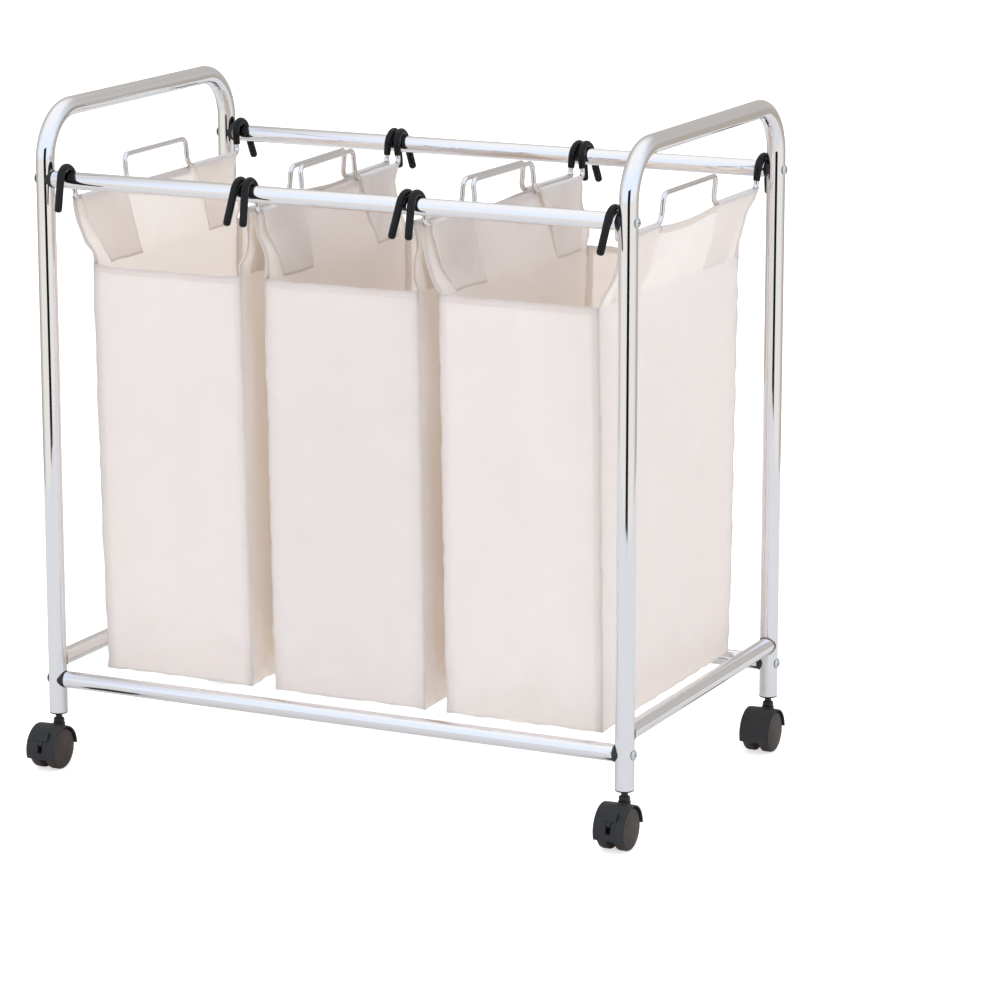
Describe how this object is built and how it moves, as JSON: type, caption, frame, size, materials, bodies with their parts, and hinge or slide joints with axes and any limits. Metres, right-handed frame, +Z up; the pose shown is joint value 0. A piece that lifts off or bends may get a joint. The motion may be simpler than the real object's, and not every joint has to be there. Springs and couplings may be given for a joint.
{
  "type": "laundry sorter",
  "caption": "Rolling laundry sorter: a chrome tube frame on twin-wheel castors with three cloth bags hung on bent wires.",
  "frame": {"origin": "on the floor, at the middle of the bounding box", "axes": "+Z up, +X to the sorter's right along the rails, -Y the front, where the castors have brakes"},
  "size_m": [0.781, 0.5104, 0.8],
  "materials": {
    "chrome_tube": "polished chrome plate on steel tube",
    "chrome_wire": "polished chrome plate on steel wire, hooks coated with glossy black vinyl",
    "zinc_screw": "bright zinc",
    "black_plastic": "moulded black plastic",
    "castor_hood": "fine satin moulded plastic",
    "castor_wheel": "satin moulded plastic, slightly brown",
    "bag_cloth": "plain woven cotton-polyester cloth, off-white"
  },
  "bodies": {
    "frame": {"side_frame_left": "chrome_tube", "side_rail_left": "chrome_tube", "side_frame_right": "chrome_tube", "side_rail_right": "chrome_tube", "top_rail_front": "chrome_tube", "top_rail_front_plug_left": "black_plastic", "top_rail_front_screw_left": "zinc_screw", "top_rail_front_plug_right": "black_plastic", "top_rail_front_screw_right": "zinc_screw", "bottom_rail_front": "chrome_tube", "bottom_rail_front_plug_left": "black_plastic", "bottom_rail_front_screw_left": "zinc_screw", "bottom_rail_front_plug_right": "black_plastic", "bottom_rail_front_screw_right": "zinc_screw", "top_rail_back": "chrome_tube", "top_rail_back_plug_left": "black_plastic", "top_rail_back_screw_left": "zinc_screw", "top_rail_back_plug_right": "black_plastic", "top_rail_back_screw_right": "zinc_screw", "bottom_rail_back": "chrome_tube", "bottom_rail_back_plug_left": "black_plastic", "bottom_rail_back_screw_left": "zinc_screw", "bottom_rail_back_plug_right": "black_plastic", "bottom_rail_back_screw_right": "zinc_screw", "castor_front_left_socket": "black_plastic", "castor_front_right_socket": "black_plastic", "castor_back_left_socket": "black_plastic", "castor_back_right_socket": "black_plastic"},
    "castor_front_left": {"castor_front_left_stem": "black_plastic", "castor_front_left_hood": "castor_hood", "castor_front_left_axle": "zinc_screw"},
    "castor_front_left_wheel_left": {"castor_front_left_wheel_left": "castor_wheel"},
    "castor_front_left_wheel_right": {"castor_front_left_wheel_right": "castor_wheel"},
    "castor_front_left_brake": {"castor_front_left_brake": "castor_hood"},
    "castor_front_right": {"castor_front_right_stem": "black_plastic", "castor_front_right_hood": "castor_hood", "castor_front_right_axle": "zinc_screw"},
    "castor_front_right_wheel_left": {"castor_front_right_wheel_left": "castor_wheel"},
    "castor_front_right_wheel_right": {"castor_front_right_wheel_right": "castor_wheel"},
    "castor_front_right_brake": {"castor_front_right_brake": "castor_hood"},
    "castor_back_left": {"castor_back_left_stem": "black_plastic", "castor_back_left_hood": "castor_hood", "castor_back_left_axle": "zinc_screw"},
    "castor_back_left_wheel_left": {"castor_back_left_wheel_left": "castor_wheel"},
    "castor_back_left_wheel_right": {"castor_back_left_wheel_right": "castor_wheel"},
    "castor_back_right": {"castor_back_right_stem": "black_plastic", "castor_back_right_hood": "castor_hood", "castor_back_right_axle": "zinc_screw"},
    "castor_back_right_wheel_left": {"castor_back_right_wheel_left": "castor_wheel"},
    "castor_back_right_wheel_right": {"castor_back_right_wheel_right": "castor_wheel"},
    "bag_1": {"bag_1": "bag_cloth", "bag_1_wire_left": "chrome_wire", "bag_1_wire_right": "chrome_wire"},
    "bag_2": {"bag_2": "bag_cloth", "bag_2_wire_left": "chrome_wire", "bag_2_wire_right": "chrome_wire"},
    "bag_3": {"bag_3": "bag_cloth", "bag_3_wire_left": "chrome_wire", "bag_3_wire_right": "chrome_wire"}
  },
  "joints": [
    {"name": "castor_front_left_swivel", "type": "hinge", "parent": "frame", "child": "castor_front_left", "pos_m": [-0.3715, -0.20891, 0.06], "axis": [0, 0, 1], "continuous": true},
    {"name": "castor_front_left_wheel_left_spin", "type": "hinge", "parent": "castor_front_left", "child": "castor_front_left_wheel_left", "pos_m": [-0.383, -0.22691, 0.025], "axis": [1, 0, 0], "continuous": true},
    {"name": "castor_front_left_wheel_right_spin", "type": "hinge", "parent": "castor_front_left", "child": "castor_front_left_wheel_right", "pos_m": [-0.36, -0.22691, 0.025], "axis": [1, 0, 0], "continuous": true},
    {"name": "castor_front_left_brake_lever", "type": "hinge", "parent": "castor_front_left", "child": "castor_front_left_brake", "pos_m": [-0.3715, -0.22691, 0.025], "axis": [1, 0, 0], "range_deg": [0, 14]},
    {"name": "castor_front_right_swivel", "type": "hinge", "parent": "frame", "child": "castor_front_right", "pos_m": [0.3715, -0.20891, 0.06], "axis": [0, 0, 1], "continuous": true},
    {"name": "castor_front_right_wheel_left_spin", "type": "hinge", "parent": "castor_front_right", "child": "castor_front_right_wheel_left", "pos_m": [0.36, -0.22691, 0.025], "axis": [1, 0, 0], "continuous": true},
    {"name": "castor_front_right_wheel_right_spin", "type": "hinge", "parent": "castor_front_right", "child": "castor_front_right_wheel_right", "pos_m": [0.383, -0.22691, 0.025], "axis": [1, 0, 0], "continuous": true},
    {"name": "castor_front_right_brake_lever", "type": "hinge", "parent": "castor_front_right", "child": "castor_front_right_brake", "pos_m": [0.3715, -0.22691, 0.025], "axis": [1, 0, 0], "range_deg": [0, 14]},
    {"name": "castor_back_left_swivel", "type": "hinge", "parent": "frame", "child": "castor_back_left", "pos_m": [-0.3715, 0.22409, 0.06], "axis": [0, 0, 1], "continuous": true},
    {"name": "castor_back_left_wheel_left_spin", "type": "hinge", "parent": "castor_back_left", "child": "castor_back_left_wheel_left", "pos_m": [-0.383, 0.20609, 0.025], "axis": [1, 0, 0], "continuous": true},
    {"name": "castor_back_left_wheel_right_spin", "type": "hinge", "parent": "castor_back_left", "child": "castor_back_left_wheel_right", "pos_m": [-0.36, 0.20609, 0.025], "axis": [1, 0, 0], "continuous": true},
    {"name": "castor_back_right_swivel", "type": "hinge", "parent": "frame", "child": "castor_back_right", "pos_m": [0.3715, 0.22409, 0.06], "axis": [0, 0, 1], "continuous": true},
    {"name": "castor_back_right_wheel_left_spin", "type": "hinge", "parent": "castor_back_right", "child": "castor_back_right_wheel_left", "pos_m": [0.36, 0.20609, 0.025], "axis": [1, 0, 0], "continuous": true},
    {"name": "castor_back_right_wheel_right_spin", "type": "hinge", "parent": "castor_back_right", "child": "castor_back_right_wheel_right", "pos_m": [0.383, 0.20609, 0.025], "axis": [1, 0, 0], "continuous": true},
    {"name": "bag_1_lift", "type": "slide", "parent": "frame", "child": "bag_1", "axis": [0, 0, 1], "range_m": [0, 0.62]},
    {"name": "bag_2_lift", "type": "slide", "parent": "frame", "child": "bag_2", "axis": [0, 0, 1], "range_m": [0, 0.62]},
    {"name": "bag_3_lift", "type": "slide", "parent": "frame", "child": "bag_3", "axis": [0, 0, 1], "range_m": [0, 0.62]}
  ]
}
